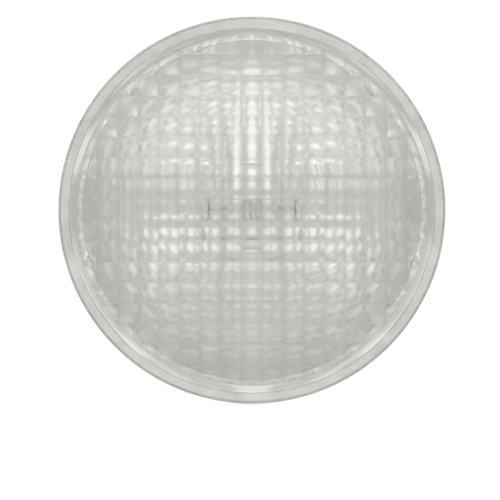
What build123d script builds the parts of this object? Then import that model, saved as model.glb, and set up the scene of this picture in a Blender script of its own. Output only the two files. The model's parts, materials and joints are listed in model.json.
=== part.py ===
from build123d import *

import math
import os

# Sealed-beam underwater pool light: a pressed glass lamp 4.75 inches across, with screw terminals.
# The optical axis is Y. The lens faces -Y, the terminals face +Y, and +Z is up.
# The origin is the centre of the rim's seat, the flat ring that a fixture clamps.
# Units are millimetres. A profile in the YZ plane is given as (place along the axis, radius).

# Rim stack, from the seat at y = 0 towards the front
LENS_RADIUS = 120.65 / 2
BOWL_RIM_RADIUS = 59.8
BOWL_RIM_THICKNESS = 3.8
BOWL_EDGE_ROUND = 0.4
SEAL_THICKNESS = 0.5
SEAL_INNER_RADIUS = 56.6
SEAL_OUTER_RADIUS = 59.5
SEAL_BEAD = 0.2
LENS_RIM_THICKNESS = 3.7
LENS_EDGE_ROUND = 1.9
LENS_BACK_ROUND = 0.6

# Dome of the lens and the crossed flutes on its inner face
DOME_RADIUS = 172.0
GLASS_THICKNESS = 4.2
FLUTE_PITCH = 6.35
FLUTE_COUNT = 17
FLUTE_HEIGHT = 0.62
FLUTE_VALLEY = 0.06
FLUTE_FIELD_RADIUS = 54.2
FLUTE_RUN_OUT_ANGLE = 50.0
GROOVE_DEPTH = 0.42
GROOVE_WIDTH = 0.9
OVERLAP = 0.4

# Reflector bowl: a shallow parabola, for a wide flood of light, that ends in a neck
FOCAL_LENGTH = 38.0
MOUTH_RADIUS = 53.0
NECK_MOUTH_RADIUS = 13.0
SHIELD_SEAT_DEPTH = 0.3
NECK_RADIUS = 12.2
NECK_FLOOR_RADIUS = 11.8
NECK_DEPTH = 6.4
FLOOR_THICKNESS = 3.8
OUTER_FOCAL_LENGTH = 41.0
SEAT_ROOT_RADIUS = 54.4
NECK_OUTER_RADIUS = 18.6
NECK_ROUND = 2.0
COATING_THICKNESS = 0.2
COATING_MARGIN = 0.4
COATING_LIP_RADIUS = 56.4

# Locating lugs on the seat
LUG_COUNT = 3
LUG_RADIUS = 54.8
LUG_SIZE = 4.4
LUG_LENGTH = 2.6

# Terminals, one each side of the axis
TERMINAL_X = 9.6
NIPPLE_RADIUS = 4.2
NIPPLE_HEIGHT = 2.0
LEAD_HOLE_RADIUS = 1.5
FERRULE_RADIUS = 5.2
FERRULE_WALL = 0.5
FERRULE_EMBED = 0.7
FERRULE_HEIGHT = 5.0
FERRULE_END = 0.7
POST_RADIUS = 4.2
POST_FLANGE_RADIUS = 4.9
POST_FLANGE_THICKNESS = 1.0
POST_HEIGHT = 7.0
THREAD_RADIUS = 1.95
THREAD_DEPTH = 6.2
WASHER_RADIUS = 4.6
WASHER_BORE = 2.15
WASHER_THICKNESS = 0.8
SCREW_RADIUS = 1.9
SCREW_LENGTH = 6.6
SCREW_END_CHAMFER = 0.4
HEAD_RADIUS = 3.8
HEAD_HEIGHT = 2.7
HEAD_ROUND = 1.1
SLOT_WIDTH = 1.1
SLOT_DEPTH = 1.3
BRAZE_RADIUS = 2.4
BRAZE_HEIGHT = 1.0

# Exhaust tube, sealed off on the axis
TIP_RADIUS = 2.8
TIP_BORE = 1.2
TIP_LENGTH = 8.0

# Light source
SOURCE_DEPTH = 15.4
CAPSULE_RADIUS = 4.75
CAPSULE_WALL = 0.9
CAPSULE_FRONT = 7.0
CAPSULE_BACK = 6.6
PIP_RADIUS = 1.2
PIP_LENGTH = 1.4
CAPSULE_END = 1.4
PINCH_WIDTH = 9.6
PINCH_THICKNESS = 3.2
PINCH_LENGTH = 7.6
PINCH_ROUND = 0.8
PIN_SPACING = 6.35
PIN_RADIUS = 0.5
PIN_BEYOND_WIRE = 0.3
FOIL_WIDTH = 2.0
FOIL_LENGTH = 4.6
FOIL_THICKNESS = 0.1
FOIL_INSET = 1.6
COIL_RADIUS = 1.1
COIL_LENGTH = 4.8
COIL_PITCH = 0.6
FILAMENT_RADIUS = 0.17
LEG_REACH = 3.0
LEG_BEND = 0.3
KNOT_RADIUS = 0.3
WIRE_RADIUS = 0.8
WIRE_BEND = 1.6
SHIELD_RADIUS = 12.9
SHIELD_THICKNESS = 0.5
SHIELD_HOLE_RADIUS = 1.2

# Places along the axis that follow from the sizes above
BOWL_FRONT = -BOWL_RIM_THICKNESS
LENS_BACK = BOWL_FRONT - SEAL_THICKNESS
LENS_FRONT = LENS_BACK - LENS_RIM_THICKNESS
DOME_EDGE_RADIUS = LENS_RADIUS - LENS_EDGE_ROUND
DOME_CENTRE = LENS_FRONT + math.sqrt(DOME_RADIUS**2 - DOME_EDGE_RADIUS**2)
INNER_RADIUS = DOME_RADIUS - GLASS_THICKNESS
INNER_EDGE_RADIUS = math.sqrt(INNER_RADIUS**2 - (DOME_CENTRE - LENS_BACK) ** 2)
VERTEX = BOWL_FRONT + MOUTH_RADIUS**2 / (4 * FOCAL_LENGTH)
SOURCE = VERTEX - SOURCE_DEPTH
NECK_MOUTH = VERTEX - NECK_MOUTH_RADIUS**2 / (4 * FOCAL_LENGTH)
SHIELD_SEAT = NECK_MOUTH + SHIELD_SEAT_DEPTH
SHIELD_VERTEX = SHIELD_SEAT + SHIELD_RADIUS**2 / (4 * FOCAL_LENGTH)
SHIELD_SEAT_INNER = SHIELD_VERTEX - NECK_RADIUS**2 / (4 * FOCAL_LENGTH)
FLOOR = NECK_MOUTH + NECK_DEPTH
BACK = FLOOR + FLOOR_THICKNESS
OUTER_VERTEX = SEAT_ROOT_RADIUS**2 / (4 * OUTER_FOCAL_LENGTH)
FERRULE_TOP = BACK + FERRULE_HEIGHT
FERRULE_INSIDE = FERRULE_TOP - FERRULE_END
FERRULE_FOOT = BACK - FERRULE_EMBED
POST_TOP = FERRULE_TOP + POST_HEIGHT
HEAD_SEAT = POST_TOP + WASHER_THICKNESS
PINCH_FRONT = SOURCE + CAPSULE_BACK
PINCH_BACK = PINCH_FRONT + PINCH_LENGTH
FOIL_FRONT = PINCH_FRONT + FOIL_INSET
FOIL_BACK = FOIL_FRONT + FOIL_LENGTH
PIN_X = PIN_SPACING / 2
WIRE_LEVEL = (SHIELD_SEAT + FLOOR) / 2
PIN_END = WIRE_LEVEL + WIRE_RADIUS + PIN_BEYOND_WIRE

SIDES = {"left": -1, "right": 1}


def save(builder, name):
    """Labels a finished piece and writes it as one STEP file."""
    builder.part.label = name
    export_step(builder.part, f"parts/{name}.step")


def dome_y(radius, r):
    """Place along the axis of a sphere about the dome's centre, at distance r from the axis."""
    return DOME_CENTRE - math.sqrt(radius**2 - r**2)


def outer_y(r):
    """Place along the axis of the bowl's outside at a radius."""
    return OUTER_VERTEX - r**2 / (4 * OUTER_FOCAL_LENGTH)


def parabola(focal_length, vertex, r_start, r_end):
    """Exact arc of a parabola about the Y axis, which opens towards -Y, as a quadratic Bezier."""
    start = (vertex - r_start**2 / (4 * focal_length), r_start)
    end = (vertex - r_end**2 / (4 * focal_length), r_end)
    control = (vertex - r_start * r_end / (4 * focal_length), (r_start + r_end) / 2)
    return Bezier(start, control, end)


def back_plane(y, x=0):
    """Plane square to the optical axis that faces the back, with its origin at x."""
    return Plane(origin=(x, y, 0), x_dir=(1, 0, 0), z_dir=(0, 1, 0))


def quarter(start, end, centre):
    """Quarter circle between two points, about a centre."""
    middle_y = centre[0] + (start[0] + end[0] - 2 * centre[0]) / math.sqrt(2)
    middle_r = centre[1] + (start[1] + end[1] - 2 * centre[1]) / math.sqrt(2)
    return ThreePointArc(start, (middle_y, middle_r), end)


# Front lens: a domed glass disc with a rounded rim and a field of crossed flutes inside


def flute_ridges():
    """Vertical ridges that follow the dome, as a body turned about a level axis through its centre."""
    half = FLUTE_COUNT * FLUTE_PITCH / 2
    valley_radius = INNER_RADIUS - FLUTE_VALLEY
    crest_radius = INNER_RADIUS - FLUTE_HEIGHT
    back_radius = INNER_RADIUS + OVERLAP
    with BuildPart() as ridges:
        with BuildSketch(Plane.XY):
            with BuildLine():
                for i in range(FLUTE_COUNT):
                    left = -half + i * FLUTE_PITCH
                    middle = left + FLUTE_PITCH / 2
                    right = left + FLUTE_PITCH
                    ThreePointArc(
                        (left, dome_y(valley_radius, left)),
                        (middle, dome_y(crest_radius, middle)),
                        (right, dome_y(valley_radius, right)),
                    )
                Line((half, dome_y(valley_radius, half)), (half, dome_y(back_radius, half)))
                ThreePointArc(
                    (half, dome_y(back_radius, half)),
                    (0, dome_y(back_radius, 0)),
                    (-half, dome_y(back_radius, half)),
                )
                Line((-half, dome_y(back_radius, half)), (-half, dome_y(valley_radius, half)))
            make_face()
        revolve(axis=Axis((0, DOME_CENTRE, 0), (1, 0, 0)))
    return ridges.part


def flute_grooves():
    """Level V grooves that cross the ridges, turned about an upright axis through the dome's centre."""
    with BuildPart() as grooves:
        with BuildSketch(Plane.YZ):
            for j in range(1, FLUTE_COUNT):
                z = (j - FLUTE_COUNT / 2) * FLUTE_PITCH
                bottom = dome_y(INNER_RADIUS - FLUTE_HEIGHT + GROOVE_DEPTH, z)
                mouth = bottom + 2 * GROOVE_DEPTH
                with BuildLine():
                    Polyline(
                        (bottom, z),
                        (mouth, z + GROOVE_WIDTH),
                        (mouth, z - GROOVE_WIDTH),
                        close=True,
                    )
                make_face()
        revolve(axis=Axis((0, DOME_CENTRE, 0), (0, 0, 1)))
    return grooves.part


def flute_field():
    """The crossed flutes, cut off by a cone at their edge, which gives the field its scalloped outline."""
    edge = FLUTE_FIELD_RADIUS
    deep = INNER_RADIUS + OVERLAP
    rise = 2 * FLUTE_HEIGHT
    cone_radius = edge - rise / math.tan(math.radians(FLUTE_RUN_OUT_ANGLE))
    with BuildPart() as field:
        with BuildSketch(Plane.YZ):
            with BuildLine():
                Line((dome_y(INNER_RADIUS, 0) + rise, 0), (dome_y(deep, 0), 0))
                ThreePointArc(
                    (dome_y(deep, 0), 0),
                    (dome_y(deep, edge / 2), edge / 2),
                    (dome_y(deep, edge), edge),
                )
                Polyline(
                    (dome_y(deep, edge), edge),
                    (dome_y(INNER_RADIUS, edge), edge),
                    (dome_y(INNER_RADIUS, edge) + rise, cone_radius),
                    (dome_y(INNER_RADIUS, 0) + rise, 0),
                )
            make_face()
        revolve(axis=Axis.Y)
        add(flute_ridges(), mode=Mode.INTERSECT)
        add(flute_grooves(), mode=Mode.SUBTRACT)
    return field.part


def build_front_lens():
    straight_front = LENS_FRONT + LENS_EDGE_ROUND
    straight_back = LENS_BACK - LENS_BACK_ROUND
    back_radius = LENS_RADIUS - LENS_BACK_ROUND
    with BuildPart() as front_lens:
        with BuildSketch(Plane.YZ):
            with BuildLine():
                ThreePointArc(
                    (dome_y(DOME_RADIUS, 0), 0),
                    (dome_y(DOME_RADIUS, DOME_EDGE_RADIUS / 2), DOME_EDGE_RADIUS / 2),
                    (LENS_FRONT, DOME_EDGE_RADIUS),
                )
                quarter(
                    (LENS_FRONT, DOME_EDGE_RADIUS),
                    (straight_front, LENS_RADIUS),
                    (straight_front, DOME_EDGE_RADIUS),
                )
                Line((straight_front, LENS_RADIUS), (straight_back, LENS_RADIUS))
                quarter(
                    (straight_back, LENS_RADIUS),
                    (LENS_BACK, back_radius),
                    (straight_back, back_radius),
                )
                Line((LENS_BACK, back_radius), (LENS_BACK, INNER_EDGE_RADIUS))
                ThreePointArc(
                    (LENS_BACK, INNER_EDGE_RADIUS),
                    (dome_y(INNER_RADIUS, INNER_EDGE_RADIUS / 2), INNER_EDGE_RADIUS / 2),
                    (dome_y(INNER_RADIUS, 0), 0),
                )
                Line((dome_y(INNER_RADIUS, 0), 0), (dome_y(DOME_RADIUS, 0), 0))
            make_face()
        revolve(axis=Axis.Y)
        add(flute_field())
    save(front_lens, "front_lens")


# Rim seal: the ring of fused glass that joins the lens to the bowl, with a small bead outside


def build_rim_seal():
    middle = (LENS_BACK + BOWL_FRONT) / 2
    with BuildPart() as rim_seal:
        with BuildSketch(Plane.YZ):
            with BuildLine():
                Polyline(
                    (LENS_BACK, SEAL_OUTER_RADIUS),
                    (LENS_BACK, SEAL_INNER_RADIUS),
                    (BOWL_FRONT, SEAL_INNER_RADIUS),
                    (BOWL_FRONT, SEAL_OUTER_RADIUS),
                )
                ThreePointArc(
                    (BOWL_FRONT, SEAL_OUTER_RADIUS),
                    (middle, SEAL_OUTER_RADIUS + SEAL_BEAD),
                    (LENS_BACK, SEAL_OUTER_RADIUS),
                )
            make_face()
        revolve(axis=Axis.Y)
    save(rim_seal, "rim_seal")


# Reflector bowl: pressed glass, with a rim, a parabolic wall, a neck and a floor


def build_reflector_bowl():
    neck_corner = NECK_OUTER_RADIUS - NECK_ROUND
    neck_straight = BACK - NECK_ROUND
    with BuildPart() as reflector_bowl:
        with BuildSketch(Plane.YZ):
            with BuildLine():
                quarter(
                    (BOWL_FRONT, BOWL_RIM_RADIUS - BOWL_EDGE_ROUND),
                    (BOWL_FRONT + BOWL_EDGE_ROUND, BOWL_RIM_RADIUS),
                    (BOWL_FRONT + BOWL_EDGE_ROUND, BOWL_RIM_RADIUS - BOWL_EDGE_ROUND),
                )
                Polyline(
                    (BOWL_FRONT + BOWL_EDGE_ROUND, BOWL_RIM_RADIUS),
                    (0, BOWL_RIM_RADIUS),
                    (0, SEAT_ROOT_RADIUS),
                )
                parabola(OUTER_FOCAL_LENGTH, OUTER_VERTEX, SEAT_ROOT_RADIUS, NECK_OUTER_RADIUS)
                Line((outer_y(NECK_OUTER_RADIUS), NECK_OUTER_RADIUS), (neck_straight, NECK_OUTER_RADIUS))
                quarter(
                    (neck_straight, NECK_OUTER_RADIUS),
                    (BACK, neck_corner),
                    (neck_straight, neck_corner),
                )
                Polyline(
                    (BACK, neck_corner),
                    (BACK, TIP_BORE),
                    (FLOOR, TIP_BORE),
                    (FLOOR, NECK_FLOOR_RADIUS),
                    (SHIELD_SEAT_INNER, NECK_RADIUS),
                )
                parabola(FOCAL_LENGTH, SHIELD_VERTEX, NECK_RADIUS, SHIELD_RADIUS)
                Polyline(
                    (SHIELD_SEAT, SHIELD_RADIUS),
                    (SHIELD_SEAT, NECK_MOUTH_RADIUS),
                    (NECK_MOUTH, NECK_MOUTH_RADIUS),
                )
                parabola(FOCAL_LENGTH, VERTEX, NECK_MOUTH_RADIUS, MOUTH_RADIUS)
                Line((BOWL_FRONT, MOUTH_RADIUS), (BOWL_FRONT, BOWL_RIM_RADIUS - BOWL_EDGE_ROUND))
            make_face()
        revolve(axis=Axis.Y)
        with BuildSketch(back_plane(0)):
            with PolarLocations(LUG_RADIUS, LUG_COUNT, start_angle=90):
                Rectangle(LUG_SIZE, LUG_SIZE)
        extrude(amount=LUG_LENGTH)
        with BuildSketch(back_plane(BACK)):
            with Locations((-TERMINAL_X, 0), (TERMINAL_X, 0)):
                Circle(NIPPLE_RADIUS)
        extrude(amount=NIPPLE_HEIGHT)
        with BuildSketch(back_plane(FERRULE_FOOT)):
            with Locations((-TERMINAL_X, 0), (TERMINAL_X, 0)):
                Circle(FERRULE_RADIUS)
                Circle(FERRULE_RADIUS - FERRULE_WALL, mode=Mode.SUBTRACT)
        extrude(amount=FERRULE_EMBED, mode=Mode.SUBTRACT)
        with BuildSketch(back_plane(FLOOR)):
            with Locations((-TERMINAL_X, 0), (TERMINAL_X, 0)):
                Circle(LEAD_HOLE_RADIUS)
        extrude(amount=FLOOR_THICKNESS + NIPPLE_HEIGHT, mode=Mode.SUBTRACT)
    save(reflector_bowl, "reflector_bowl")


# Mirror coating: a thick stand-in for the aluminium film on the bowl's inside and its rim's flat


def build_mirror_coating():
    inner = NECK_MOUTH_RADIUS + COATING_MARGIN
    back_y = VERTEX - inner**2 / (4 * FOCAL_LENGTH)
    face_vertex = VERTEX - COATING_THICKNESS
    lip_face = BOWL_FRONT - COATING_THICKNESS
    with BuildPart() as mirror_coating:
        with BuildSketch(Plane.YZ):
            with BuildLine():
                parabola(FOCAL_LENGTH, VERTEX, inner, MOUTH_RADIUS)
                Polyline(
                    (BOWL_FRONT, MOUTH_RADIUS),
                    (BOWL_FRONT, COATING_LIP_RADIUS),
                    (lip_face, COATING_LIP_RADIUS),
                    (lip_face, MOUTH_RADIUS),
                )
                parabola(FOCAL_LENGTH, face_vertex, MOUTH_RADIUS, inner)
                Line((back_y - COATING_THICKNESS, inner), (back_y, inner))
            make_face()
        revolve(axis=Axis.Y)
    save(mirror_coating, "mirror_coating")


# Exhaust tip: the glass tube that the lamp was filled through, melted shut at its end


def build_exhaust_tip():
    shoulder = BACK + TIP_LENGTH - TIP_RADIUS
    bore_end = BACK + TIP_LENGTH / 2
    with BuildPart() as exhaust_tip:
        with BuildSketch(Plane.YZ):
            with BuildLine():
                Polyline((bore_end, 0), (BACK, TIP_BORE), (BACK, TIP_RADIUS), (shoulder, TIP_RADIUS))
                quarter(
                    (shoulder, TIP_RADIUS),
                    (BACK + TIP_LENGTH, 0),
                    (shoulder, 0),
                )
                Line((BACK + TIP_LENGTH, 0), (bore_end, 0))
            make_face()
        revolve(axis=Axis.Y)
    save(exhaust_tip, "exhaust_tip")


# Heat shield: a bright metal dish that carries the mirror's curve across the neck, holed for the pins


def build_heat_shield():
    edge_face = SHIELD_SEAT - SHIELD_THICKNESS
    face_vertex = SHIELD_VERTEX - SHIELD_THICKNESS
    with BuildPart() as heat_shield:
        with BuildSketch(Plane.YZ):
            with BuildLine():
                parabola(FOCAL_LENGTH, SHIELD_VERTEX, 0, SHIELD_RADIUS)
                Line((SHIELD_SEAT, SHIELD_RADIUS), (edge_face, SHIELD_RADIUS))
                parabola(FOCAL_LENGTH, face_vertex, SHIELD_RADIUS, 0)
                Line((face_vertex, 0), (SHIELD_VERTEX, 0))
            make_face()
        revolve(axis=Axis.Y)
        with BuildSketch(back_plane(edge_face)):
            with Locations((-PIN_X, 0), (PIN_X, 0)):
                Circle(SHIELD_HOLE_RADIUS)
        extrude(amount=FLOOR - edge_face, mode=Mode.SUBTRACT)
    save(heat_shield, "heat_shield")


# Halogen capsule: a quartz tube with a sealed pip in front and a flat pinch behind


def build_halogen_capsule():
    front = SOURCE - CAPSULE_FRONT
    centre = front + CAPSULE_RADIUS
    bore = CAPSULE_RADIUS - CAPSULE_WALL
    pip_root = centre - math.sqrt(CAPSULE_RADIUS**2 - PIP_RADIUS**2)
    cavity_end = PINCH_FRONT - CAPSULE_END
    diagonal = 1 / math.sqrt(2)
    with BuildPart() as halogen_capsule:
        with BuildSketch(Plane.YZ):
            with BuildLine():
                Line((centre - bore, 0), (front - PIP_LENGTH, 0))
                Spline(
                    (front - PIP_LENGTH, 0),
                    (pip_root, PIP_RADIUS),
                    tangents=[(0, 1), (1, 0)],
                )
                ThreePointArc(
                    (pip_root, PIP_RADIUS),
                    (centre - CAPSULE_RADIUS * diagonal, CAPSULE_RADIUS * diagonal),
                    (centre, CAPSULE_RADIUS),
                )
                Polyline(
                    (centre, CAPSULE_RADIUS),
                    (cavity_end, CAPSULE_RADIUS),
                    (PINCH_FRONT, PINCH_THICKNESS / 2),
                    (PINCH_FRONT, 0),
                    (cavity_end, 0),
                    (cavity_end, bore),
                    (centre, bore),
                )
                ThreePointArc(
                    (centre, bore),
                    (centre - bore * diagonal, bore * diagonal),
                    (centre - bore, 0),
                )
            make_face()
        revolve(axis=Axis.Y)
        with BuildSketch(back_plane(cavity_end)):
            RectangleRounded(PINCH_WIDTH, PINCH_THICKNESS, PINCH_ROUND)
        extrude(amount=PINCH_BACK - cavity_end)
        with BuildSketch(back_plane(cavity_end)):
            with Locations((-PIN_X, 0), (PIN_X, 0)):
                Circle(FILAMENT_RADIUS)
        extrude(amount=FOIL_FRONT - cavity_end, mode=Mode.SUBTRACT)
        with BuildSketch(back_plane(FOIL_FRONT)):
            with Locations((-PIN_X, 0), (PIN_X, 0)):
                Rectangle(FOIL_WIDTH, FOIL_THICKNESS)
        extrude(amount=FOIL_LENGTH, mode=Mode.SUBTRACT)
        with BuildSketch(back_plane(FOIL_BACK)):
            with Locations((-PIN_X, 0), (PIN_X, 0)):
                Circle(PIN_RADIUS)
        extrude(amount=PINCH_BACK - FOIL_BACK, mode=Mode.SUBTRACT)
    save(halogen_capsule, "halogen_capsule")


# Filament: a level coil on the axis, with a leg from each end to its foil


def build_filament():
    half = COIL_LENGTH / 2
    with BuildPart() as filament:
        for side in SIDES.values():
            with BuildLine():
                leg = FilletPolyline(
                    (side * half, SOURCE, COIL_RADIUS),
                    (side * PIN_X, SOURCE, COIL_RADIUS),
                    (side * PIN_X, SOURCE + LEG_REACH, 0),
                    (side * PIN_X, FOIL_FRONT, 0),
                    radius=LEG_BEND,
                )
            with BuildSketch(Plane(origin=leg @ 0, z_dir=leg % 0)):
                Circle(FILAMENT_RADIUS)
            sweep(path=leg)
            with Locations((side * half, SOURCE, COIL_RADIUS)):
                Sphere(KNOT_RADIUS)
        with BuildLine():
            coil = Helix(COIL_PITCH, COIL_LENGTH, COIL_RADIUS, center=(-half, SOURCE, 0), direction=(1, 0, 0))
        with BuildSketch(Plane(origin=coil @ 0, z_dir=coil % 0)):
            Circle(FILAMENT_RADIUS)
        sweep(path=coil, is_frenet=True)
    save(filament, "filament")


# Pieces that come in a left and a right


def build_foil(side, name):
    """Molybdenum foil, sealed in the pinch between a filament leg and a pin."""
    with BuildPart() as foil:
        with BuildSketch(back_plane(FOIL_FRONT, side * PIN_X)):
            Rectangle(FOIL_WIDTH, FOIL_THICKNESS)
        extrude(amount=FOIL_LENGTH)
    save(foil, name)


def build_pin(side, name):
    """Straight pin out of the pinch, to which a lead wire is welded."""
    with BuildPart() as pin:
        with BuildSketch(back_plane(FOIL_BACK, side * PIN_X)):
            Circle(PIN_RADIUS)
        extrude(amount=PIN_END - FOIL_BACK)
    save(pin, name)


def build_lead_wire(side, name):
    """Stiff wire from a ferrule into the neck, bent in to meet a pin that its end is saddled around."""
    with BuildPart() as wire:
        with BuildLine():
            route = FilletPolyline(
                (side * TERMINAL_X, FERRULE_INSIDE, 0),
                (side * TERMINAL_X, WIRE_LEVEL, 0),
                (side * PIN_X, WIRE_LEVEL, 0),
                radius=WIRE_BEND,
            )
        with BuildSketch(Plane(origin=route @ 0, z_dir=route % 0)):
            Circle(WIRE_RADIUS)
        sweep(path=route)
        with BuildSketch(back_plane(FOIL_BACK, side * PIN_X)):
            Circle(PIN_RADIUS)
        extrude(amount=FLOOR - FOIL_BACK, mode=Mode.SUBTRACT)
    save(wire, name)


def build_ferrule(side, name):
    """Thin metal cup, with its foot sealed in the glass and its closed end outwards."""
    with BuildPart() as ferrule:
        with BuildSketch(back_plane(FERRULE_FOOT, side * TERMINAL_X)):
            Circle(FERRULE_RADIUS)
        extrude(amount=FERRULE_TOP - FERRULE_FOOT)
        with BuildSketch(back_plane(FERRULE_FOOT, side * TERMINAL_X)):
            Circle(FERRULE_RADIUS - FERRULE_WALL)
        extrude(amount=FERRULE_INSIDE - FERRULE_FOOT, mode=Mode.SUBTRACT)
    save(ferrule, name)


def build_braze(side, name):
    """Ring of braze that holds the lead wire to the inside of the ferrule's end."""
    with BuildPart() as braze:
        with BuildSketch(back_plane(FERRULE_INSIDE - BRAZE_HEIGHT, side * TERMINAL_X)):
            Circle(WIRE_RADIUS + FILAMENT_RADIUS)
        with BuildSketch(back_plane(FERRULE_INSIDE, side * TERMINAL_X)):
            Circle(BRAZE_RADIUS)
        loft()
        with BuildSketch(back_plane(FERRULE_INSIDE - BRAZE_HEIGHT, side * TERMINAL_X)):
            Circle(WIRE_RADIUS)
        extrude(amount=BRAZE_HEIGHT, mode=Mode.SUBTRACT)
    save(braze, name)


def build_terminal_post(side, name):
    """Round post with a flange soldered to the ferrule and a tapped hole for its screw."""
    with BuildPart() as post:
        with BuildSketch(back_plane(FERRULE_TOP, side * TERMINAL_X)):
            Circle(POST_FLANGE_RADIUS)
        extrude(amount=POST_FLANGE_THICKNESS)
        with BuildSketch(back_plane(FERRULE_TOP, side * TERMINAL_X)):
            Circle(POST_RADIUS)
        extrude(amount=POST_HEIGHT)
        with BuildSketch(back_plane(POST_TOP, side * TERMINAL_X)):
            Circle(THREAD_RADIUS)
        extrude(amount=-THREAD_DEPTH, mode=Mode.SUBTRACT)
    save(post, name)


def build_washer(side, name):
    """Flat washer that stays on its screw and clamps a wire against the post."""
    with BuildPart() as washer:
        with BuildSketch(back_plane(POST_TOP, side * TERMINAL_X)):
            Circle(WASHER_RADIUS)
            Circle(WASHER_BORE, mode=Mode.SUBTRACT)
        extrude(amount=WASHER_THICKNESS)
    save(washer, name)


def build_screw(side, name):
    """Slotted pan head screw, with its thread drawn as a plain shank."""
    with BuildPart() as screw:
        with BuildSketch(back_plane(HEAD_SEAT, side * TERMINAL_X)):
            Circle(HEAD_RADIUS)
        extrude(amount=HEAD_HEIGHT)
        fillet(screw.edges().group_by(Axis.Y)[-1], radius=HEAD_ROUND)
        with BuildSketch(back_plane(HEAD_SEAT, side * TERMINAL_X)):
            Circle(SCREW_RADIUS)
        extrude(amount=-SCREW_LENGTH)
        chamfer(screw.edges().group_by(Axis.Y)[0], length=SCREW_END_CHAMFER)
        with BuildSketch(back_plane(HEAD_SEAT + HEAD_HEIGHT, side * TERMINAL_X)):
            Rectangle(2 * HEAD_RADIUS, SLOT_WIDTH)
        extrude(amount=-SLOT_DEPTH, mode=Mode.SUBTRACT)
    save(screw, name)


def main():
    os.makedirs("parts", exist_ok=True)
    build_front_lens()
    build_rim_seal()
    build_reflector_bowl()
    build_mirror_coating()
    build_exhaust_tip()
    build_heat_shield()
    build_halogen_capsule()
    build_filament()
    for label, side in SIDES.items():
        build_foil(side, f"foil_{label}")
        build_pin(side, f"capsule_pin_{label}")
        build_lead_wire(side, f"lead_wire_{label}")
        build_ferrule(side, f"ferrule_{label}")
        build_braze(side, f"braze_ring_{label}")
        build_terminal_post(side, f"terminal_post_{label}")
        build_washer(side, f"terminal_washer_{label}")
        build_screw(side, f"terminal_screw_{label}")


main()
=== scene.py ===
import json
import math

import bmesh
import bpy
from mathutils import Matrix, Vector


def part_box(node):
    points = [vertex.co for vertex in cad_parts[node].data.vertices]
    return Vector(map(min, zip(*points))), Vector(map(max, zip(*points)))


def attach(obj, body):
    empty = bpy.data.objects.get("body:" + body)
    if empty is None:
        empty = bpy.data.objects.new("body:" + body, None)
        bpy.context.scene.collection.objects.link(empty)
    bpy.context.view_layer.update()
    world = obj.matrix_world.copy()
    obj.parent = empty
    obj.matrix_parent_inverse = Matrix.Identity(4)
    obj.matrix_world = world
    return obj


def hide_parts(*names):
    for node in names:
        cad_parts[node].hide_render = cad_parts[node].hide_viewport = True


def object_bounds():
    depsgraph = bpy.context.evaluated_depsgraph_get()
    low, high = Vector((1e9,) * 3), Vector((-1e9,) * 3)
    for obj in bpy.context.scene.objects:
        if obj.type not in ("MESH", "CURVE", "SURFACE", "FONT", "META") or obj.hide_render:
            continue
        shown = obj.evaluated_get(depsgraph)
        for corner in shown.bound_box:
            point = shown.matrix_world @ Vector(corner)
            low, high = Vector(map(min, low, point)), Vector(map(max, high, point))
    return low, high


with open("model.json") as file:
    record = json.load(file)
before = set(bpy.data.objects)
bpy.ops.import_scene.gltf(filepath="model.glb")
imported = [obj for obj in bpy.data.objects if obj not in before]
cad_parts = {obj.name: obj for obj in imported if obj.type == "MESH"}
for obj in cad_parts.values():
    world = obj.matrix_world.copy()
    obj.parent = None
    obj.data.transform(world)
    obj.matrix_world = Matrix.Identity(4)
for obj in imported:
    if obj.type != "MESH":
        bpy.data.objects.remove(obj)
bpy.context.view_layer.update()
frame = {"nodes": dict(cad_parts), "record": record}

# Lengths are in millimetres as far as the materials, and become metres when a mesh is made.
MM = 0.001
TAU = 2 * math.pi

# Lens, as the CAD has it, with the flutes as crossed pillows
LENS_RADIUS = 60.325
DOME_RADIUS = 172.0
INNER_RADIUS = 167.8
LENS_BACK = -4.3
LENS_FRONT = -8.0
EDGE_ROUND = 1.9
BACK_ROUND = 0.6
DOME_EDGE = LENS_RADIUS - EDGE_ROUND
DOME_CENTRE = LENS_FRONT + math.sqrt(DOME_RADIUS**2 - DOME_EDGE**2)
INNER_EDGE = math.sqrt(INNER_RADIUS**2 - (DOME_CENTRE - LENS_BACK) ** 2)
PITCH = 6.35
FLUTES = 17
FIELD_RADIUS = 54.0
RUN_OUT_SLOPE = 1.19
PILLOW_X = 0.57
PILLOW_Z = 0.60
PILLOW_BASE = 0.05
PILLOW_BLEND = 0.08

# Lens mesh: grid squares to a flute, points to a ring, and where the grid gives way to rings
CELLS = 16
SEGMENTS = 480
RING_RADIUS = FIELD_RADIUS + 0.7
GRID_RADIUS = RING_RADIUS - 0.25

# Reflector, as the CAD has it
FOCAL_LENGTH = 38.0
MOUTH_RADIUS = 53.0
NECK_MOUTH = 13.0
BOWL_FRONT = -3.8
VERTEX = BOWL_FRONT + MOUTH_RADIUS**2 / (4 * FOCAL_LENGTH)

# Film on the reflector: how far its back and its face stand off the glass, and its outer edge
FILM_BACK = 0.05
FILM_FACE = 0.2
FILM_EDGE = 58.9
FILM_ROWS = 41

# Fused seal, and the hair gaps that keep its faces from coinciding with its neighbours'
SEAM = 0.05
HAIR = 0.03
SEAL_INNER = 56.62
SEAL_STEP = FILM_EDGE + 0.04
SEAL_FLAT = 59.4
BEAD_CENTRE = (-4.05, 59.45)
BEAD_RADIUS = 0.22

# Terminal screws
SCREW_X = 9.6
HEAD_RADIUS = 3.8
HEAD_HEIGHT = 2.7
HEAD_ROUND = 1.15
HEAD_ROUND_HEIGHT = 1.1
SHANK_RADIUS = 1.88
POINT_RADIUS = 1.42
SCREW_LENGTH = 6.6
THREAD_PITCH = 0.7
THREAD_DEPTH = 0.3
THREAD_ROWS = 73
PLAIN_SHANK = 0.7
SLOT_WIDTH = 1.1
SLOT_DEPTH = 1.3
EDGE_BEVEL = 0.08


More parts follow.
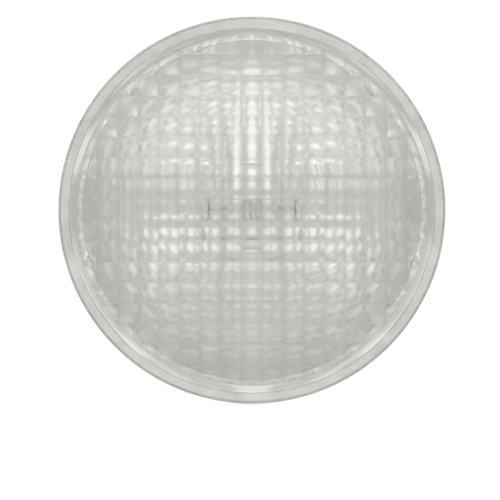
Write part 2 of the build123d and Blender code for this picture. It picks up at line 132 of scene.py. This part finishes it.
def dome_y(radius, r):
    """Height of one of the lens's two domes, at a distance r from the axis."""
    return DOME_CENTRE - math.sqrt(radius**2 - r**2)


def mirror_y(r):
    """Height of the reflector's parabola."""
    return VERTEX - r * r / (4 * FOCAL_LENGTH)


def steps(start, end, count):
    """Evenly spaced numbers from start to end, both included."""
    return [start + (end - start) * k / (count - 1) for k in range(count)]


def arc(y, r, radius, degrees):
    """Points of a round in a profile, at angles from straight outward towards +Y."""
    return [(y + radius * math.sin(a), r + radius * math.cos(a)) for a in map(math.radians, degrees)]


# ---- meshes ----


def new_object(name, verts, faces):
    mesh = bpy.data.meshes.new(name)
    mesh.from_pydata([(x * MM, y * MM, z * MM) for x, y, z in verts], [], faces)
    mesh.validate()
    mesh.polygons.foreach_set("use_smooth", [True] * len(mesh.polygons))
    mesh.update()
    obj = bpy.data.objects.new(name, mesh)
    bpy.context.scene.collection.objects.link(obj)
    return obj


def turned(name, profile, segments, closed=True, centre=0.0, radius=None):
    """Turns (y, r) points about an axis along Y at x = centre. Points on the axis become poles.

    radius(y, r, angle) may change a point's radius, as for a thread.
    """
    verts, rings = [], []
    for y, r in profile:
        if r == 0:
            rings.append([len(verts)])
            verts.append((centre, y, 0.0))
        else:
            rings.append(list(range(len(verts), len(verts) + segments)))
            for a in (TAU * i / segments for i in range(segments)):
                q = radius(y, r, a) if radius else r
                verts.append((centre + q * math.cos(a), y, q * math.sin(a)))
    pairs = list(zip(rings, rings[1:]))
    if closed:
        pairs.append((rings[-1], rings[0]))
    return outward(new_object(name, verts, [face for a, b in pairs for face in band(a, b)]))


def band(a, b):
    """Faces between two rings of points, either of which may be a single pole."""
    count = max(len(a), len(b))
    faces = []
    for i in range(count):
        j = (i + 1) % count
        if len(a) == 1:
            faces.append((a[0], b[j], b[i]))
        elif len(b) == 1:
            faces.append((a[i], a[j], b[0]))
        else:
            faces.append((a[i], a[j], b[j], b[i]))
    return faces


def outward(obj):
    """Turns every face of a closed mesh outward."""
    bm = bmesh.new()
    bm.from_mesh(obj.data)
    bmesh.ops.recalc_face_normals(bm, faces=bm.faces)
    bm.to_mesh(obj.data)
    bm.free()
    return obj


# ---- lens ----


def soft_min(a, b, k):
    """The smaller of two numbers, rounded over where they come within k of each other."""
    h = max(k - abs(a - b), 0.0) / k
    return min(a, b) - h * h * k / 4


def pillow(x, z):
    """Height of the crossed flutes above the plain inner dome."""
    u = (x / PITCH + FLUTES / 2) % 1.0 - 0.5
    v = (z / PITCH + FLUTES / 2) % 1.0 - 0.5
    body = PILLOW_X * (1 - 4 * u * u) + PILLOW_Z * (1 - 4 * v * v) + PILLOW_BASE
    run_out = max(0.0, (FIELD_RADIUS - math.hypot(x, z)) * RUN_OUT_SLOPE)
    return soft_min(body, run_out, PILLOW_BLEND) if run_out > 0 else 0.0


def grid_line(i):
    """Place of a grid line, on a grid as wide as all the flutes."""
    return i * PITCH / CELLS - FLUTES * PITCH / 2


def grid_angle(corner):
    i, j = corner
    return math.atan2(grid_line(j), grid_line(i)) % TAU


def pillow_grid():
    """Square grid over the fluted field: points, faces, and its stepped edge as (angle, point)."""
    verts, index, faces, edges = [], {}, [], {}

    def point(corner):
        if corner not in index:
            x, z = map(grid_line, corner)
            index[corner] = len(verts)
            verts.append((x, dome_y(INNER_RADIUS, math.hypot(x, z)) + pillow(x, z), z))
        return index[corner]

    def corners(i, j):
        return [(i, j), (i + 1, j), (i + 1, j + 1), (i, j + 1)]

    lines = range(FLUTES * CELLS)
    inside = [
        (i, j)
        for i in lines
        for j in lines
        if max(math.hypot(grid_line(a), grid_line(b)) for a, b in corners(i, j)) < GRID_RADIUS
    ]
    known = set(inside)
    for i, j in inside:
        square = corners(i, j)
        faces.append([point(corner) for corner in square])
        for k, beyond in enumerate([(i, j - 1), (i + 1, j), (i, j + 1), (i - 1, j)]):
            if beyond not in known:
                edges[square[k]] = square[(k + 1) % 4]
    here = min(edges, key=grid_angle)
    loop = []
    for _ in edges:
        loop.append((grid_angle(here), point(here)))
        here = edges[here]
    return verts, faces, loop


def stitched(inner, outer):
    """Triangles between two closed loops of (angle, point), each in order of angle."""
    inner = inner + [(inner[0][0] + TAU, inner[0][1])]
    outer = outer + [(outer[0][0] + TAU, outer[0][1])]
    faces, i, j = [], 0, 0
    while i + 1 < len(inner) or j + 1 < len(outer):
        if j + 1 == len(outer) or (i + 1 < len(inner) and inner[i + 1][0] <= outer[j + 1][0]):
            faces.append((inner[i][1], inner[i + 1][1], outer[j][1]))
            i += 1
        else:
            faces.append((inner[i][1], outer[j + 1][1], outer[j][1]))
            j += 1
    return faces


def lens_mesh(name):
    """Closed lens: the pressed inner face, then rings round the rim to the middle of the outer dome.

    Returns the object, and how many of its faces belong to the pressed face. These come first.
    """
    verts, faces, loop = pillow_grid()
    angles = [TAU * k / SEGMENTS for k in range(SEGMENTS)]

    def ring(y, r):
        verts.extend((r * math.cos(a), y, r * math.sin(a)) for a in angles)
        return list(range(len(verts) - SEGMENTS, len(verts)))

    back = LENS_BACK - SEAM
    last = ring(dome_y(INNER_RADIUS, RING_RADIUS), RING_RADIUS)
    faces += stitched(loop, list(zip(angles, last)))
    pressed = [(dome_y(INNER_RADIUS, r), r) for r in (55.2, 55.7, 56.0)]
    pressed += [(dome_y(INNER_RADIUS, INNER_EDGE) - 0.08, INNER_EDGE - 0.08), (back, INNER_EDGE + 0.1)]
    for y, r in pressed:
        previous, last = last, ring(y, r)
        faces += band(previous, last)
    pressed_count = len(faces)
    rest = [(back, r) for r in (57.0, 58.0, 59.0, LENS_RADIUS - BACK_ROUND - 0.05)]
    rest += arc(back - BACK_ROUND, LENS_RADIUS - BACK_ROUND, BACK_ROUND, steps(90, 0, 6))
    rest += [(-5.2, LENS_RADIUS), (-5.7, LENS_RADIUS)]
    front_turns = (0, -10, -20, -30, -40, -50, -60, -70, -78, -84, -88)
    rest += arc(LENS_FRONT + EDGE_ROUND, DOME_EDGE, EDGE_ROUND, front_turns)
    rest += [(dome_y(DOME_RADIUS, r), r) for r in (DOME_EDGE - 0.06, DOME_EDGE - 0.3, 57.5, 56.5)]
    rest += [(dome_y(DOME_RADIUS, r), r) for r in steps(55.0, 2.5, 36)]
    for y, r in rest:
        previous, last = last, ring(y, r)
        faces += band(previous, last)
    verts.append((0.0, dome_y(DOME_RADIUS, 0), 0.0))
    faces += band(last, [len(verts) - 1])
    return outward(new_object(name, verts, faces)), pressed_count


lens, pressed_faces = lens_mesh("fluted_lens")
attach(lens, "lamp")
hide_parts("front_lens")

# ---- film and seal ----


def film_profile():
    """From the neck's mouth up the wall, then out over the flat of the rim, under the seal, and back."""
    wall = steps(NECK_MOUTH, MOUTH_RADIUS, FILM_ROWS)
    profile = [(mirror_y(r) - FILM_BACK, r) for r in wall]
    profile += [(BOWL_FRONT - FILM_BACK, MOUTH_RADIUS + 0.4), (BOWL_FRONT - FILM_BACK, FILM_EDGE)]
    profile += [(BOWL_FRONT - FILM_FACE, FILM_EDGE), (BOWL_FRONT - FILM_FACE, MOUTH_RADIUS + 0.1)]
    return profile + [(mirror_y(r) - FILM_FACE, r - 0.02) for r in reversed(wall)]


def seal_profile():
    """Flat ring that steps over the film's edge, with a beaded outer edge."""
    front, over_film, back = LENS_BACK + HAIR, BOWL_FRONT - FILM_FACE - HAIR, BOWL_FRONT - HAIR
    profile = [(front, SEAL_INNER), (over_film, SEAL_INNER), (over_film, SEAL_STEP), (back, SEAL_STEP)]
    profile += [(back, SEAL_FLAT)]
    profile += arc(*BEAD_CENTRE, BEAD_RADIUS, steps(80, -80, 9))
    return profile + [(front, SEAL_FLAT)]


film = turned("mirror_film", film_profile(), 360)
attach(film, "lamp")
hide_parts("mirror_coating")

seal = turned("fused_seal", seal_profile(), 360)
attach(seal, "lamp")
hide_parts("rim_seal")

# ---- terminal screws ----


def screw_profile(seat):
    """Half section from the point to the top of the head, whose underside is at y = seat."""
    start, top = seat - SCREW_LENGTH, seat + HEAD_HEIGHT
    profile = [(start, 0.0), (start, POINT_RADIUS - 0.12), (start + 0.05, POINT_RADIUS)]
    profile += [(y, SHANK_RADIUS) for y in steps(start + 0.3, seat - 0.6, THREAD_ROWS)]
    profile += [(seat - 0.2, SHANK_RADIUS), (seat - 0.02, SHANK_RADIUS), (seat, SHANK_RADIUS + 0.04)]
    profile += [(seat, 2.4), (seat, HEAD_RADIUS - 0.15), (seat + 0.05, HEAD_RADIUS - 0.04)]
    profile += [(seat + h, HEAD_RADIUS) for h in (0.16, 0.9, 1.4)]
    for a in map(math.radians, steps(11.25, 90, 8)):
        y = top - 1.25 + HEAD_ROUND_HEIGHT * math.sin(a)
        profile.append((y, HEAD_RADIUS - HEAD_ROUND + HEAD_ROUND * math.cos(a)))
    return profile + [(top - 0.08, 1.9), (top - 0.02, 0.9), (top, 0.0)]


def slot_cutter(name, x, top):
    """Block that cuts the driver's slot across a head."""
    bm = bmesh.new()
    bmesh.ops.create_cube(bm, size=1.0)
    for v in bm.verts:
        size = Vector((2.4 * HEAD_RADIUS, 2 * SLOT_DEPTH, SLOT_WIDTH))
        v.co = (v.co * size + Vector((x, top, 0.0))) * MM
    mesh = bpy.data.meshes.new(name)
    bm.to_mesh(mesh)
    bm.free()
    cutter = bpy.data.objects.new(name, mesh)
    bpy.context.scene.collection.objects.link(cutter)
    return cutter


def screw_mesh(name, x, seat):
    """Pan head screw along Y, with a cut thread and a slot, whose head sits on the plane y = seat."""
    start = seat - SCREW_LENGTH

    def threaded(y, r, a):
        if y > seat - PLAIN_SHANK or r < SHANK_RADIUS:
            return r
        phase = ((y - start) / THREAD_PITCH - a / TAU) % 1.0
        fade = min(1.0, (y - start) / 0.5, (seat - PLAIN_SHANK - y) / 0.3)
        return r - THREAD_DEPTH * fade * abs(2 * phase - 1)

    obj = turned(name, screw_profile(seat), 64, closed=False, centre=x, radius=threaded)
    cutter = slot_cutter(name + "_slot", x, seat + HEAD_HEIGHT)
    cut = obj.modifiers.new("slot", "BOOLEAN")
    cut.operation = "DIFFERENCE"
    cut.solver = "EXACT"
    cut.object = cutter
    bevel = obj.modifiers.new("edge", "BEVEL")
    bevel.width = EDGE_BEVEL * MM
    bevel.segments = 2
    bevel.limit_method = "ANGLE"
    bevel.angle_limit = math.radians(55)
    graph = bpy.context.evaluated_depsgraph_get()
    mesh = bpy.data.meshes.new_from_object(obj.evaluated_get(graph))
    obj.modifiers.clear()
    obj.data = mesh
    bpy.data.objects.remove(cutter)
    return obj


screws = []
for side, x in (("left", -SCREW_X), ("right", SCREW_X)):
    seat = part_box("terminal_washer_" + side)[1][1] / MM
    screw = screw_mesh("slotted_screw_" + side, x, seat)
    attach(screw, "screw_" + side)
    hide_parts("terminal_screw_" + side)
    screws.append(screw)

# ---- materials: node texture scales are per metre, and bump distances are in metres ----

# Roughness, and haze from 0 for clear to 1 for the haze colour, a grey tint that paints shade along the
# flute valleys and over the plain ring beyond them
MIRROR_ROUGH = 0.1
PRESSED_ROUGH = 0.065
HAZE_ROUGH = 0.18
VALLEY_START = 0.2
LEVEL_HAZE_AND_SHADE = 0.75
PLAIN_HAZE_AND_SHADE = 0.9
FADE_INSIDE = 0.8
FADE_OUTSIDE = 0.2
GROUND_ROUGH = 0.3
GROUND_CLEARNESS = 0.8
GROUND_FADE = 0.001


class Nodes:
    """Short calls for making a node tree."""

    def __init__(self, name):
        self.mat = bpy.data.materials.new(name)
        self.mat.use_nodes = True
        self.tree = self.mat.node_tree
        self.shader = self.tree.nodes["Principled BSDF"]
        self.place = self.tree.nodes.new("ShaderNodeTexCoord").outputs["Object"]

    def link(self, a, b):
        self.tree.links.new(a, b)

    def scaled(self, scale):
        n = self.tree.nodes.new("ShaderNodeMapping")
        n.inputs["Scale"].default_value = scale
        self.link(self.place, n.inputs["Vector"])
        return n.outputs["Vector"]

    def noise(self, scale, detail=3.0, vector=None, rough=0.5):
        n = self.tree.nodes.new("ShaderNodeTexNoise")
        n.inputs["Scale"].default_value = scale
        n.inputs["Detail"].default_value = detail
        n.inputs["Roughness"].default_value = rough
        self.link(vector or self.place, n.inputs["Vector"])
        return n.outputs["Fac"]

    def spots(self, scale):
        n = self.tree.nodes.new("ShaderNodeTexVoronoi")
        n.inputs["Scale"].default_value = scale
        self.link(self.place, n.inputs["Vector"])
        return n.outputs["Distance"]

    def ramp(self, value, low, high, start=0.35, end=0.65):
        n = self.tree.nodes.new("ShaderNodeValToRGB")
        for stop, position, color in zip(n.color_ramp.elements, (start, end), (low, high)):
            stop.position = position
            stop.color = (*color, 1)
        self.link(value, n.inputs["Fac"])
        return n.outputs["Color"]

    def fit(self, value, low, high, start=0.3, end=0.7):
        n = self.tree.nodes.new("ShaderNodeMapRange")
        n.inputs["From Min"].default_value = start
        n.inputs["From Max"].default_value = end
        n.inputs["To Min"].default_value = low
        n.inputs["To Max"].default_value = high
        self.link(value, n.inputs["Value"])
        return n.outputs["Result"]

    def mix(self, fac, a, b):
        n = self.tree.nodes.new("ShaderNodeMix")
        n.data_type = "RGBA"
        self.link(fac, n.inputs[0])
        self.link(a, n.inputs[6])
        self.link(b, n.inputs[7])
        return n.outputs[2]

    def bump(self, height, strength, distance, normal=None):
        n = self.tree.nodes.new("ShaderNodeBump")
        n.inputs["Strength"].default_value = strength
        n.inputs["Distance"].default_value = distance
        self.link(height, n.inputs["Height"])
        if normal:
            self.link(normal, n.inputs["Normal"])
        return n.outputs["Normal"]

    def radius(self):
        """Distance from the lamp's axis."""
        length = self.tree.nodes.new("ShaderNodeVectorMath")
        length.operation = "LENGTH"
        self.link(self.scaled((1, 0, 1)), length.inputs[0])
        return length.outputs["Value"]

    def valleys(self):
        """Haze of the fluted face, with a darker grey tint that is painted shade: most in the upright
        valleys, less in the level ones, none on crests.

        Beyond the flutes it is PLAIN_HAZE_AND_SHADE.
        """
        split = self.tree.nodes.new("ShaderNodeSeparateXYZ")
        self.link(self.scaled((1 / (PITCH * MM), 0, 1 / (PITCH * MM))), split.inputs[0])
        bands = []
        for axis, depth in (("X", 1.0), ("Z", LEVEL_HAZE_AND_SHADE)):
            turn = self.tree.nodes.new("ShaderNodeMath")
            turn.operation = "PINGPONG"
            turn.inputs[1].default_value = 0.5
            self.link(split.outputs[axis], turn.inputs[0])
            bands.append(self.fit(turn.outputs["Value"], 0.0, depth, VALLEY_START, 0.5))
        most = self.tree.nodes.new("ShaderNodeMath")
        most.operation = "MAXIMUM"
        self.link(bands[0], most.inputs[0])
        self.link(bands[1], most.inputs[1])
        fade = self.tree.nodes.new("ShaderNodeMapRange")
        fade.inputs["From Min"].default_value = (FIELD_RADIUS - FADE_INSIDE) * MM
        fade.inputs["From Max"].default_value = (FIELD_RADIUS + FADE_OUTSIDE) * MM
        fade.inputs["To Max"].default_value = PLAIN_HAZE_AND_SHADE
        self.link(self.radius(), fade.inputs["Value"])
        self.link(most.outputs["Value"], fade.inputs["To Min"])
        return fade.outputs["Result"]

    def edges(self, start, end):
        """1 along worn edges and 0 elsewhere, rising from start to end of the mesh's own pointiness."""
        n = self.tree.nodes.new("ShaderNodeNewGeometry")
        return self.fit(n.outputs["Pointiness"], 0.0, 1.0, start, end)


def clear_glass(name, tint, deep, ior, rough, wave, wave_scale, specks=0.0, ground_from=None):
    """Pressed or drawn glass: slow ripples, fine mould texture, and small changes of tint.

    Beyond the radius ground_from, in metres, it is ground and cloudy, as a lamp's rim is.
    """
    n = Nodes(name)
    s = n.shader
    slow = n.noise(wave_scale, 2.0)
    fine = n.noise(wave_scale * 14, 4.0)
    n.link(n.ramp(slow, tint, deep), s.inputs["Base Color"])
    s.inputs["Transmission Weight"].default_value = 1.0
    s.inputs["IOR"].default_value = ior
    gloss = n.fit(fine, rough * 0.7, rough * 1.4 + 0.002)
    if ground_from:
        rim = n.radius()
        ground = (ground_from, ground_from + GROUND_FADE)
        n.link(n.fit(rim, 1.0, GROUND_CLEARNESS, *ground), s.inputs["Transmission Weight"])
        total = n.tree.nodes.new("ShaderNodeMath")
        n.link(gloss, total.inputs[0])
        n.link(n.fit(rim, 0.0, GROUND_ROUGH, *ground), total.inputs[1])
        gloss = total.outputs["Value"]
    n.link(gloss, s.inputs["Roughness"])
    normal = n.bump(slow, 0.5, wave)
    if specks:
        normal = n.bump(n.fit(n.spots(wave_scale * 9), 1.0, 0.0, 0.0, 0.16), 0.35, specks, normal)
    n.link(n.bump(fine, 0.3, wave * 0.08, normal), s.inputs["Normal"])
    return n.mat


def fluted_glass(name, tint, deep, painted_shade_light, painted_shade_dark):
    """Inner face of the lens: satin pressed glass, hazier along the valleys between the flutes, and tinted
    darker grey there as painted shade.
    """
    n = Nodes(name)
    s = n.shader
    slow = n.noise(110, 2.0)
    fine = n.noise(1500, 4.0)
    valley_haze_and_shade = n.valleys()
    # The grey colour that the valley mask mixes in is painted shade: dark lines along the flute valleys,
    # roughness aside.
    haze = n.ramp(fine, painted_shade_light, painted_shade_dark)
    n.link(n.mix(valley_haze_and_shade, n.ramp(slow, tint, deep), haze), s.inputs["Base Color"])
    s.inputs["Transmission Weight"].default_value = 1.0
    s.inputs["IOR"].default_value = 1.5
    n.link(n.fit(valley_haze_and_shade, PRESSED_ROUGH, HAZE_ROUGH, 0.0, 1.0), s.inputs["Roughness"])
    n.link(n.bump(fine, 0.3, 0.0000008, n.bump(slow, 0.5, 0.00001)), s.inputs["Normal"])
    return n.mat


def metal(name, bright, dull, rough, grain=(900, 60, 900), grain_depth=0.00001, stain=90.0, worn=None):
    """Metal with a worked grain, patches of dulling, fine scratches and lighter worn edges."""
    n = Nodes(name)
    s = n.shader
    s.inputs["Metallic"].default_value = 1.0
    patch = n.noise(stain, 5.0, rough=0.62)
    line = n.noise(1.0, 3.0, n.scaled(grain))
    color = n.ramp(patch, bright, dull, 0.42, 0.72)
    if worn:
        color = n.mix(n.edges(0.51, 0.58), color, n.ramp(line, worn, bright))
    n.link(color, s.inputs["Base Color"])
    n.link(n.fit(n.noise(stain * 3, 4.0, rough=0.7), rough * 0.7, rough * 1.5), s.inputs["Roughness"])
    n.link(n.bump(line, 0.45, grain_depth, n.bump(patch, 0.2, grain_depth)), s.inputs["Normal"])
    return n.mat


def cloudy_seal():
    """Fused glass, nearly clear, with a slight cloudiness and fine bubbles."""
    n = Nodes("seal_look")
    s = n.shader
    cloud = n.noise(160, 5.0, rough=0.6)
    bubble = n.fit(n.spots(1400), 1.0, 0.0, 0.0, 0.35)
    n.link(n.ramp(cloud, (0.95, 0.95, 0.93), (0.91, 0.91, 0.89), 0.3, 0.8), s.inputs["Base Color"])
    s.inputs["Transmission Weight"].default_value = 1.0
    s.inputs["IOR"].default_value = 1.5
    n.link(n.fit(cloud, 0.02, 0.08), s.inputs["Roughness"])
    n.link(n.bump(bubble, 0.2, 0.00001), s.inputs["Normal"])
    return n.mat


def mirror_look(name, bright, dull, rough):
    """Bright aluminium, evaporated on pressed glass: faint haze and the mould's slow ripple."""
    n = Nodes(name)
    s = n.shader
    s.inputs["Metallic"].default_value = 1.0
    haze = n.noise(70, 4.0, rough=0.6)
    n.link(n.ramp(haze, bright, dull, 0.3, 0.8), s.inputs["Base Color"])
    n.link(n.fit(haze, rough * 0.8, rough * 1.3), s.inputs["Roughness"])
    n.link(n.bump(n.noise(45, 2.0), 0.3, 0.00003), s.inputs["Normal"])
    return n.mat


def thin_quartz():
    """Thin quartz wall: clear straight through, with a gloss that grows towards its edges."""
    n = Nodes("quartz_look")
    clear = n.tree.nodes.new("ShaderNodeBsdfTransparent")
    gloss = n.tree.nodes.new("ShaderNodeBsdfGlossy")
    fresnel = n.tree.nodes.new("ShaderNodeFresnel")
    fresnel.inputs["IOR"].default_value = 1.3
    blend = n.tree.nodes.new("ShaderNodeMixShader")
    wave = n.noise(240, 3.0)
    n.link(n.ramp(wave, (1.0, 1.0, 0.995), (0.985, 0.99, 0.985)), clear.inputs["Color"])
    n.link(n.fit(wave, 0.03, 0.09), gloss.inputs["Roughness"])
    normal = n.bump(wave, 0.25, 0.00006)
    n.link(normal, gloss.inputs["Normal"])
    n.link(normal, fresnel.inputs["Normal"])
    geometry = n.tree.nodes.new("ShaderNodeNewGeometry")
    outside = n.fit(geometry.outputs["Backfacing"], 1.0, 0.0, 0.0, 1.0)
    weight = n.tree.nodes.new("ShaderNodeMath")
    weight.operation = "MULTIPLY"
    n.link(fresnel.outputs["Fac"], weight.inputs[0])
    n.link(outside, weight.inputs[1])
    n.link(weight.outputs["Value"], blend.inputs["Fac"])
    n.link(clear.outputs["BSDF"], blend.inputs[1])
    n.link(gloss.outputs["BSDF"], blend.inputs[2])
    n.link(blend.outputs["Shader"], n.tree.nodes["Material Output"].inputs["Surface"])
    n.tree.nodes.remove(n.shader)
    return n.mat


looks = {
    "lens_glass": clear_glass(
        "lens_glass_look", (0.98, 0.978, 0.965), (0.97, 0.968, 0.955), 1.5, 0.004, 0.00001, 60
    ),
    "bowl_glass": clear_glass(
        "bowl_glass_look", (0.93, 0.95, 0.93), (0.9, 0.93, 0.9), 1.48, 0.02, 0.00008, 70, 0.00002, 0.0575
    ),
    "tube_glass": clear_glass(
        "tube_glass_look", (0.95, 0.965, 0.95), (0.92, 0.945, 0.93), 1.48, 0.01, 0.00006, 150, 0.0, 0.0001
    ),
    "seal_glass": cloudy_seal(),
    "mirror_film": mirror_look("mirror_film_look", (0.88, 0.885, 0.87), (0.83, 0.835, 0.82), MIRROR_ROUGH),
    "shield_metal": mirror_look("shield_metal_look", (0.87, 0.875, 0.86), (0.82, 0.825, 0.81), MIRROR_ROUGH),
    "quartz": thin_quartz(),
    "tungsten": metal("tungsten_look", (0.95, 0.945, 0.935), (0.86, 0.855, 0.85), 0.3, stain=900),
    "foil_metal": metal("foil_metal_look", (0.88, 0.88, 0.87), (0.78, 0.78, 0.77), 0.25, stain=700),
    "wire_metal": metal("wire_metal_look", (0.86, 0.84, 0.8), (0.72, 0.7, 0.65), 0.3, grain=(500, 60, 500)),
    "ferrule_metal": metal(
        "ferrule_metal_look", (0.66, 0.65, 0.62), (0.42, 0.4, 0.37), 0.32, (220, 2600, 220), 0.00002, 150,
        (0.8, 0.79, 0.76),
    ),
    "braze": metal("braze_look", (0.84, 0.74, 0.5), (0.6, 0.48, 0.3), 0.28, stain=500),
    "terminal_brass": metal(
        "terminal_brass_look", (0.8, 0.6, 0.3), (0.5, 0.35, 0.17), 0.27, (160, 3200, 160), 0.00002, 120,
        (0.93, 0.76, 0.46),
    ),
    "washer_metal": metal(
        "washer_metal_look", (0.66, 0.65, 0.62), (0.42, 0.41, 0.38), 0.3, (500, 500, 500), 0.000012, 200,
        (0.8, 0.79, 0.77),
    ),
    "screw_metal": metal(
        "screw_metal_look", (0.64, 0.62, 0.57), (0.42, 0.39, 0.34), 0.26, (260, 2400, 260), 0.00002, 160,
        (0.82, 0.8, 0.76),
    ),
}
# The last two colours are the grey of the painted shade along the flute valleys.
pressed_glass = fluted_glass(
    "pressed_glass_look", (0.99, 0.988, 0.975), (0.98, 0.978, 0.965), (0.81, 0.81, 0.8), (0.77, 0.77, 0.76)
)


def put(obj, *mats):
    obj.data.materials.clear()
    for mat in mats:
        obj.data.materials.append(mat)


put(lens, looks["lens_glass"], pressed_glass)
which = [int(k < pressed_faces) for k in range(len(lens.data.polygons))]
lens.data.polygons.foreach_set("material_index", which)
put(film, looks["mirror_film"])
put(seal, looks["seal_glass"])
for screw in screws:
    put(screw, looks["screw_metal"])
slots = {row["node"]: row["material_slot"] for row in frame["record"]["subparts"]}
for node, obj in frame["nodes"].items():
    for slot in obj.material_slots:
        slot.material = looks[slots[node]]

# ---- camera, lights and floor ----

scene = bpy.context.scene
scene.view_settings.view_transform = "Standard"
scene.cycles.max_bounces = 24
scene.cycles.transmission_bounces = 20
scene.cycles.glossy_bounces = 12
scene.cycles.transparent_max_bounces = 40

# A white studio, brightest straight behind the lamp, before a white backdrop
FRONT_LEVEL = 0.695
BACK_LEVEL = 1.06
LEVEL_FROM = 0.2
LEVEL_TO = 0.7
BACKDROP_LEVEL = 1.06
world = bpy.data.worlds.new("studio")
scene.world = world
world.use_nodes = True
sky = world.node_tree
direction = sky.nodes.new("ShaderNodeTexCoord")
parts = sky.nodes.new("ShaderNodeSeparateXYZ")
level = sky.nodes.new("ShaderNodeMapRange")
level.inputs["From Min"].default_value = LEVEL_FROM
level.inputs["From Max"].default_value = LEVEL_TO
level.inputs["To Min"].default_value = FRONT_LEVEL
level.inputs["To Max"].default_value = BACK_LEVEL
sky.links.new(direction.outputs["Generated"], parts.inputs[0])
sky.links.new(parts.outputs["Y"], level.inputs["Value"])
sky.nodes["Background"].inputs["Color"].default_value = (1.0, 0.998, 0.985, 1)
sky.links.new(level.outputs["Result"], sky.nodes["Background"].inputs["Strength"])
backdrop = sky.nodes.new("ShaderNodeBackground")
backdrop.inputs["Color"].default_value = (1.0, 1.0, 1.0, 1)
backdrop.inputs["Strength"].default_value = BACKDROP_LEVEL
seen = sky.nodes.new("ShaderNodeLightPath")
choose = sky.nodes.new("ShaderNodeMixShader")
sky.links.new(seen.outputs["Is Camera Ray"], choose.inputs["Fac"])
sky.links.new(sky.nodes["Background"].outputs["Background"], choose.inputs[1])
sky.links.new(backdrop.outputs["Background"], choose.inputs[2])
sky.links.new(choose.outputs["Shader"], sky.nodes["World Output"].inputs["Surface"])


LIGHT_DISTANCE = 1.6


def softbox(name, az, el, width_deg, height_deg, radiance):
    """A rectangular soft light seen from the lamp at an azimuth and elevation, aimed at the lamp."""
    data = bpy.data.lights.new(name, "AREA")
    data.shape = "RECTANGLE"
    data.size = 2 * LIGHT_DISTANCE * math.tan(math.radians(width_deg / 2))
    data.size_y = 2 * LIGHT_DISTANCE * math.tan(math.radians(height_deg / 2))
    data.energy = radiance * math.pi * data.size * data.size_y
    light = bpy.data.objects.new(name, data)
    scene.collection.objects.link(light)
    a, e = math.radians(az), math.radians(el)
    at = Vector((math.sin(a) * math.cos(e), -math.cos(a) * math.cos(e), math.sin(e))) * LIGHT_DISTANCE
    light.location = at
    light.rotation_euler = at.to_track_quat("Z", "Y").to_euler()
    light.visible_camera = False


# Name, azimuth and elevation, width and height in degrees, and radiance
PAIRS = (
    ("upper", 38, 14, 20, 10, 0.49),
    ("upper_inner", 17, 14, 7, 9, 0.39),
    ("higher", 36, 34, 18, 8, 0.31),
    ("higher_inner", 16, 34, 7, 8, 0.27),
    ("table", 36, -30, 18, 6, 0.45),
    ("low", 30, -50, 16, 6, 0.43),
    ("strip_a", 22, -35, 6, 60, 0.43),
    ("strip_b", 42, -35, 6, 60, 0.43),
    ("strip_c", 60, -35, 6, 60, 0.43),
    ("strip_d", 11, -35, 4, 60, 0.22),
    ("strip_e", 32, -35, 4, 60, 0.32),
    ("strip_f", 51, -35, 5, 60, 0.32),
)
for sign, side in ((-1, "left"), (1, "right")):
    for name, azimuth, *rest in PAIRS:
        softbox(name + "_" + side, sign * azimuth, *rest)
softbox("upper_middle", 0, 14, 7, 9, 0.34)
softbox("higher_middle", 0, 34, 7, 8, 0.27)
softbox("strip_middle", 0, -35, 7, 60, 0.54)

FLOOR_HALF = 1.6
FLOOR_GAP = 0.0001
FLOOR_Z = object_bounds()[0][2] - FLOOR_GAP
floor_mesh = bpy.data.meshes.new("floor")
corners = [(x * FLOOR_HALF, y * FLOOR_HALF, FLOOR_Z) for x, y in ((-1, -1), (1, -1), (1, 1), (-1, 1))]
floor_mesh.from_pydata(corners, [], [(0, 1, 2, 3)])
floor = bpy.data.objects.new("floor", floor_mesh)
scene.collection.objects.link(floor)
paper = Nodes("paper_look")
shade = paper.ramp(paper.noise(30, 3.0), (0.55, 0.55, 0.545), (0.52, 0.52, 0.515))
paper.link(shade, paper.shader.inputs["Base Color"])
paper.shader.inputs["Roughness"].default_value = 0.8
paper.shader.inputs["Specular IOR Level"].default_value = 0.1
paper.shader.inputs["Emission Color"].default_value = (1.0, 1.0, 1.0, 1)
paper.shader.inputs["Emission Strength"].default_value = 0.75
put(floor, paper.mat)
floor.visible_glossy = False
floor.visible_transmission = False

# The camera looks straight along the axis. FRAME_WIDTH is what it takes in at the plane of the rim.
DISTANCE = 0.70
RIM_PLANE = 0.006
FRAME_WIDTH = 0.1557
SENSOR = 36.0
cam_data = bpy.data.cameras.new("camera")
cam_data.sensor_width = SENSOR
cam_data.lens = SENSOR * (DISTANCE - RIM_PLANE) / FRAME_WIDTH
cam = bpy.data.objects.new("camera", cam_data)
scene.collection.objects.link(cam)
scene.camera = cam
cam.location = (-0.0006, -DISTANCE, -0.0124)
cam.rotation_euler = (math.radians(90), 0, 0)
